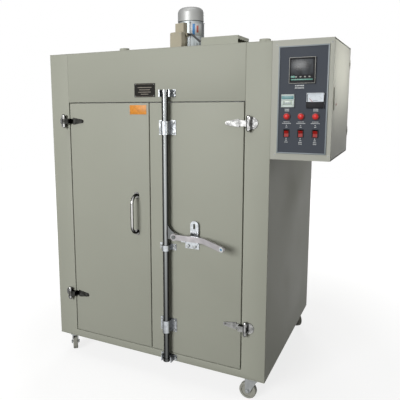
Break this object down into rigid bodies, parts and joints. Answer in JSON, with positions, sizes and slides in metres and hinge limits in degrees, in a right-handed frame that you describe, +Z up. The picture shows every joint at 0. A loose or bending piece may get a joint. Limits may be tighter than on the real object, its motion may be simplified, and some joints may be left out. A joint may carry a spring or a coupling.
{
  "type": "industrial drying oven",
  "caption": "Floor-standing hot-air drying oven: insulated cabinet on casters with hinged double doors, a rod lock, a side control box and a roof fan motor.",
  "frame": {"origin": "centre of the bounding box at floor level, under the casters", "axes": "+X to the right seen from the front, the doors face -Y, +Z up"},
  "size_m": [1.312, 0.998, 1.759],
  "materials": {
    "paint": "satin stove enamel, warm grey",
    "dark_paint": "satin",
    "zinc": "bluish zinc plate",
    "chrome": "polished",
    "galvanised": "galvanised sheet",
    "stainless": "stainless",
    "wool": "mineral wool",
    "gasket": "silicone rubber",
    "slate_panel": "matt",
    "black_plastic": "fine grain",
    "red_lens": "moulded",
    "needle_red": "painted",
    "motor_grey": "satin",
    "cowl_silver": "satin",
    "beige_box": "satin",
    "cable_black": "matt",
    "heater_steel": "heat tinted",
    "rotor_steel": "bare",
    "wheel_grey": "hard rubber",
    "timer_pale": "fine grain",
    "meter_white": "fine grain",
    "relay_grey": "moulded"
  },
  "bodies": {
    "cabinet": {"back_panel": "paint", "base_pan": "paint", "caster_plates": "zinc", "chamber_liner": "galvanised", "control_box": "paint", "duct_panels": "galvanised", "frame_hinges": "chrome", "front_rails": "paint", "front_stiles": "paint", "heater_tubes": "heater_steel", "instrument_plate": "slate_panel", "insulation_slabs": "wool", "motor_cable": "cable_black", "motor_cowl": "cowl_silver", "motor_housing": "motor_grey", "panel_bezels": "black_plastic", "panel_meter": "meter_white", "pilot_lamps": "red_lens", "plenum_plate": "galvanised", "power_relays": "relay_grey", "rod_keepers": "zinc", "roof_box": "paint", "roof_panel": "paint", "roof_vents": "paint", "side_panels": "paint", "sign_plate": "dark_paint", "temperature_controller": "black_plastic", "terminal_box": "beige_box", "timer_unit": "timer_pale", "wire_shelves": "stainless"},
    "door_left": {"door_left_skin": "paint", "door_left_liner": "galvanised", "door_left_core": "wool", "door_left_gasket": "gasket", "hinge_straps_left": "chrome", "bow_handle": "chrome"},
    "door_right": {"door_right_skin": "paint", "door_right_liner": "galvanised", "door_right_core": "wool", "door_right_gasket": "gasket", "hinge_straps_right": "chrome", "rod_brackets": "zinc"},
    "lock_rod": {"lock_rod": "zinc"},
    "lever": {"lever": "zinc"},
    "catch_tongue": {"catch_tongue": "zinc"},
    "control_door": {"control_door": "paint"},
    "door_latch": {"door_latch": "zinc"},
    "meter_needle": {"meter_needle": "needle_red"},
    "rocker_1": {"rocker_1": "red_lens"},
    "rocker_2": {"rocker_2": "red_lens"},
    "rocker_3": {"rocker_3": "red_lens"},
    "fan_rotor": {"fan_rotor": "rotor_steel"},
    "caster_fork_fl": {"caster_fork_fl": "zinc"},
    "caster_wheel_fl": {"caster_wheel_fl": "wheel_grey"},
    "caster_fork_fr": {"caster_fork_fr": "zinc"},
    "caster_wheel_fr": {"caster_wheel_fr": "wheel_grey"},
    "caster_fork_rl": {"caster_fork_rl": "zinc"},
    "caster_wheel_rl": {"caster_wheel_rl": "wheel_grey"},
    "caster_fork_rr": {"caster_fork_rr": "zinc"},
    "caster_wheel_rr": {"caster_wheel_rr": "wheel_grey"}
  },
  "joints": [
    {"name": "door_left_swing", "type": "hinge", "parent": "cabinet", "child": "door_left", "pos_m": [-0.572, -0.42497, 0.708], "axis": [0, 0, -1], "range_deg": [0, 110]},
    {"name": "door_right_swing", "type": "hinge", "parent": "cabinet", "child": "door_right", "pos_m": [0.34, -0.42497, 0.708], "axis": [0, 0, 1], "range_deg": [0, 110]},
    {"name": "rod_turn", "type": "hinge", "parent": "door_right", "child": "lock_rod", "pos_m": [-0.025, -0.43297, 0.708], "axis": [0, 0, -1], "range_deg": [0, 100]},
    {"name": "lever_lift", "type": "hinge", "parent": "lock_rod", "child": "lever", "pos_m": [0.024, -0.44997, 0.712], "axis": [0, -1, 0], "range_deg": [0, 15]},
    {"name": "tongue_turn", "type": "hinge", "parent": "door_right", "child": "catch_tongue", "pos_m": [0.106, -0.41397, 0.693], "axis": [0, 1, 0], "range_deg": [0, 90]},
    {"name": "control_door_swing", "type": "hinge", "parent": "cabinet", "child": "control_door", "pos_m": [0.647, 0.06933, 1.266], "axis": [0, 0, 1], "range_deg": [0, 110]},
    {"name": "latch_turn", "type": "hinge", "parent": "control_door", "child": "door_latch", "pos_m": [0.651, -0.37097, 1.284], "axis": [1, 0, 0], "range_deg": [0, 90]},
    {"name": "needle_swing", "type": "hinge", "parent": "cabinet", "child": "meter_needle", "pos_m": [0.5905, -0.40497, 1.2785], "axis": [0, 1, 0], "range_deg": [0, 90], "stiffness_Nm_per_rad": 0.002, "springref_deg": -5.73},
    {"name": "fan_spin", "type": "hinge", "parent": "cabinet", "child": "fan_rotor", "pos_m": [-0.116, 0.04703, 1.52], "axis": [0, 0, 1], "continuous": true},
    {"name": "rocker_1_tilt", "type": "hinge", "parent": "cabinet", "child": "rocker_1", "pos_m": [0.4865, -0.40197, 1.1695], "axis": [-1, 0, 0], "range_deg": [0, 20]},
    {"name": "rocker_2_tilt", "type": "hinge", "parent": "cabinet", "child": "rocker_2", "pos_m": [0.54, -0.40197, 1.1695], "axis": [-1, 0, 0], "range_deg": [0, 20]},
    {"name": "rocker_3_tilt", "type": "hinge", "parent": "cabinet", "child": "rocker_3", "pos_m": [0.5935, -0.40197, 1.1695], "axis": [-1, 0, 0], "range_deg": [0, 20]},
    {"name": "swivel_fl", "type": "hinge", "parent": "cabinet", "child": "caster_fork_fl", "pos_m": [-0.598, -0.36497, 0.098], "axis": [0, 0, 1], "continuous": true},
    {"name": "roll_fl", "type": "hinge", "parent": "caster_fork_fl", "child": "caster_wheel_fl", "pos_m": [-0.61278, -0.34605, 0.0375], "axis": [-0.788, -0.6157, 0], "continuous": true},
    {"name": "swivel_fr", "type": "hinge", "parent": "cabinet", "child": "caster_fork_fr", "pos_m": [0.366, -0.36497, 0.098], "axis": [0, 0, 1], "continuous": true},
    {"name": "roll_fr", "type": "hinge", "parent": "caster_fork_fr", "child": "caster_wheel_fr", "pos_m": [0.342, -0.36497, 0.0375], "axis": [0, -1, 0], "continuous": true},
    {"name": "swivel_rl", "type": "hinge", "parent": "cabinet", "child": "caster_fork_rl", "pos_m": [-0.598, 0.45903, 0.098], "axis": [0, 0, 1], "continuous": true},
    {"name": "roll_rl", "type": "hinge", "parent": "caster_fork_rl", "child": "caster_wheel_rl", "pos_m": [-0.58673, 0.43784, 0.0375], "axis": [0.8829, 0.4695, 0], "continuous": true},
    {"name": "swivel_rr", "type": "hinge", "parent": "cabinet", "child": "caster_fork_rr", "pos_m": [0.366, 0.45903, 0.098], "axis": [0, 0, 1], "continuous": true},
    {"name": "roll_rr", "type": "hinge", "parent": "caster_fork_rr", "child": "caster_wheel_rr", "pos_m": [0.38206, 0.4412, 0.0375], "axis": [0.7431, 0.6691, 0], "continuous": true}
  ]
}
